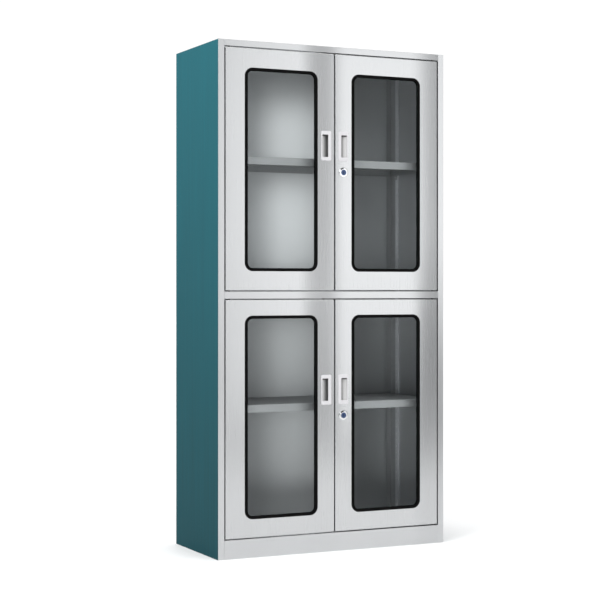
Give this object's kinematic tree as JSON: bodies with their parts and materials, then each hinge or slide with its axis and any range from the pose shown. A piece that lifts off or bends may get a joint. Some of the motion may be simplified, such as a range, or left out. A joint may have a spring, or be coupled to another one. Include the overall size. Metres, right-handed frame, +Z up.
{
  "type": "medicine cabinet",
  "caption": "Tall sheet-steel medicine cabinet with glazed swing doors in two tiers, flush pulls, cam locks, adjustable shelves, a stainless front and teal sides.",
  "frame": {"origin": "on the floor under the middle of the cabinet", "axes": "+Z up, +Y towards the back panel, so the doors face -Y, and +X to the right seen from the front"},
  "size_m": [0.9, 0.4045, 1.8],
  "materials": {
    "teal_coat": "satin coat",
    "front_steel": "brushed",
    "inner_steel": "mill finish",
    "zinc_steel": "zinc plated",
    "seal_rubber": "satin",
    "window_glass": "polished",
    "pull_plastic": "satin gloss",
    "lock_chrome": "polished",
    "lock_face": "dark lacquer",
    "bush_nylon": "moulded",
    "catch_plastic": "moulded"
  },
  "bodies": {
    "carcass": {"left_side_panel": "teal_coat", "right_side_panel": "teal_coat", "left_stile": "front_steel", "right_stile": "front_steel", "back_panel": "front_steel", "top_panel": "front_steel", "base_panel": "inner_steel", "divider_panel": "inner_steel", "top_rail": "front_steel", "mid_rail": "front_steel", "kick_plate": "front_steel", "upper_shelf": "inner_steel", "lower_shelf": "inner_steel", "upper_shelf_standards": "inner_steel", "lower_shelf_standards": "inner_steel", "upper_shelf_clips": "zinc_steel", "lower_shelf_clips": "zinc_steel", "upper_hinge_pins": "zinc_steel", "lower_hinge_pins": "zinc_steel", "upper_magnetic_catch": "catch_plastic", "lower_magnetic_catch": "catch_plastic"},
    "upper_left_door": {"upper_left_door_front": "front_steel", "upper_left_door_back": "front_steel", "upper_left_window_glass": "window_glass", "upper_left_window_seal": "seal_rubber", "upper_left_door_pull": "pull_plastic", "upper_left_hinge_bushes": "bush_nylon", "upper_bolt_guides": "zinc_steel"},
    "upper_right_door": {"upper_right_door_front": "front_steel", "upper_right_door_back": "front_steel", "upper_right_window_glass": "window_glass", "upper_right_window_seal": "seal_rubber", "upper_right_door_pull": "pull_plastic", "upper_right_hinge_bushes": "bush_nylon", "upper_lock_body": "lock_chrome", "upper_lock_nut": "zinc_steel"},
    "upper_lock": {"upper_lock_plug": "lock_face", "upper_lock_cam": "zinc_steel"},
    "upper_top_bolt": {"upper_top_bolt": "zinc_steel"},
    "upper_bottom_bolt": {"upper_bottom_bolt": "zinc_steel"},
    "lower_left_door": {"lower_left_door_front": "front_steel", "lower_left_door_back": "front_steel", "lower_left_window_glass": "window_glass", "lower_left_window_seal": "seal_rubber", "lower_left_door_pull": "pull_plastic", "lower_left_hinge_bushes": "bush_nylon", "lower_bolt_guides": "zinc_steel"},
    "lower_right_door": {"lower_right_door_front": "front_steel", "lower_right_door_back": "front_steel", "lower_right_window_glass": "window_glass", "lower_right_window_seal": "seal_rubber", "lower_right_door_pull": "pull_plastic", "lower_right_hinge_bushes": "bush_nylon", "lower_lock_body": "lock_chrome", "lower_lock_nut": "zinc_steel"},
    "lower_lock": {"lower_lock_plug": "lock_face", "lower_lock_cam": "zinc_steel"},
    "lower_top_bolt": {"lower_top_bolt": "zinc_steel"},
    "lower_bottom_bolt": {"lower_bottom_bolt": "zinc_steel"}
  },
  "joints": [
    {"name": "upper_left_door_hinge", "type": "hinge", "parent": "carcass", "child": "upper_left_door", "pos_m": [-0.411, -0.192, 1.3525], "axis": [0, 0, -1], "range_deg": [0, 110]},
    {"name": "upper_right_door_hinge", "type": "hinge", "parent": "carcass", "child": "upper_right_door", "pos_m": [0.411, -0.192, 1.3525], "axis": [0, 0, 1], "range_deg": [0, 110]},
    {"name": "upper_lock_turn", "type": "hinge", "parent": "upper_right_door", "child": "upper_lock", "pos_m": [0.034, -0.2, 1.3525], "axis": [0, 1, 0], "range_deg": [0, 90]},
    {"name": "upper_top_bolt_slide", "type": "slide", "parent": "upper_left_door", "child": "upper_top_bolt", "axis": [0, 0, 1], "range_m": [0, 0.014]},
    {"name": "upper_bottom_bolt_slide", "type": "slide", "parent": "upper_left_door", "child": "upper_bottom_bolt", "axis": [0, 0, -1], "range_m": [0, 0.014]},
    {"name": "lower_left_door_hinge", "type": "hinge", "parent": "carcass", "child": "lower_left_door", "pos_m": [-0.411, -0.192, 0.484], "axis": [0, 0, -1], "range_deg": [0, 110]},
    {"name": "lower_right_door_hinge", "type": "hinge", "parent": "carcass", "child": "lower_right_door", "pos_m": [0.411, -0.192, 0.484], "axis": [0, 0, 1], "range_deg": [0, 110]},
    {"name": "lower_lock_turn", "type": "hinge", "parent": "lower_right_door", "child": "lower_lock", "pos_m": [0.034, -0.2, 0.484], "axis": [0, 1, 0], "range_deg": [0, 90]},
    {"name": "lower_top_bolt_slide", "type": "slide", "parent": "lower_left_door", "child": "lower_top_bolt", "axis": [0, 0, 1], "range_m": [0, 0.014]},
    {"name": "lower_bottom_bolt_slide", "type": "slide", "parent": "lower_left_door", "child": "lower_bottom_bolt", "axis": [0, 0, -1], "range_m": [0, 0.014]}
  ]
}
